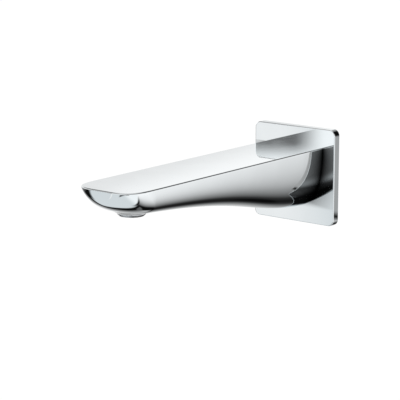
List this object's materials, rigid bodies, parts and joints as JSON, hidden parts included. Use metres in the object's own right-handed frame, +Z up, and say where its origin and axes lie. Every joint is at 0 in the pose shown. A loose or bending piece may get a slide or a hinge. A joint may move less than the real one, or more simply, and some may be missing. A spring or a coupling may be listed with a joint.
{
  "type": "bath spout",
  "caption": "Wall-mounted bath spout: a smooth tapering chrome hull with a flat top and a rounded nose on a square wall plate, with an aerator under its tip.",
  "frame": {"origin": "centre of the wall plate's back face, on the inlet's axis", "axes": "+Y into the wall, so the spout reaches out along -Y; +Z up; +X to the right of someone facing the wall"},
  "size_m": [0.07, 0.2144, 0.07],
  "materials": {
    "chrome_hull": "polished chrome plate on cast brass",
    "chrome_plate": "polished chrome plate on brass",
    "chrome_aerator": "polished chrome plate on turned brass",
    "brass": "turned, uncoated",
    "steel": "plain stainless steel",
    "rubber": "matt black",
    "foam": "closed-cell foam, matt dark grey",
    "plastic": "moulded, pale grey"
  },
  "bodies": {
    "root": {"spout_body": "chrome_hull", "wall_plate": "chrome_plate", "wall_gasket": "foam", "plate_o_ring": "rubber", "inlet_adapter": "brass", "inlet_o_ring_front": "rubber", "inlet_o_ring_rear": "rubber", "inlet_washer": "rubber", "set_screw": "steel", "aerator_housing": "chrome_aerator", "aerator_gasket": "rubber", "aerator_strainer": "plastic", "aerator_spreader": "plastic", "aerator_insert": "plastic", "aerator_mesh_upper": "steel", "aerator_spacer": "plastic", "aerator_mesh_lower": "steel", "aerator_grid": "plastic"}
  },
  "joints": []
}
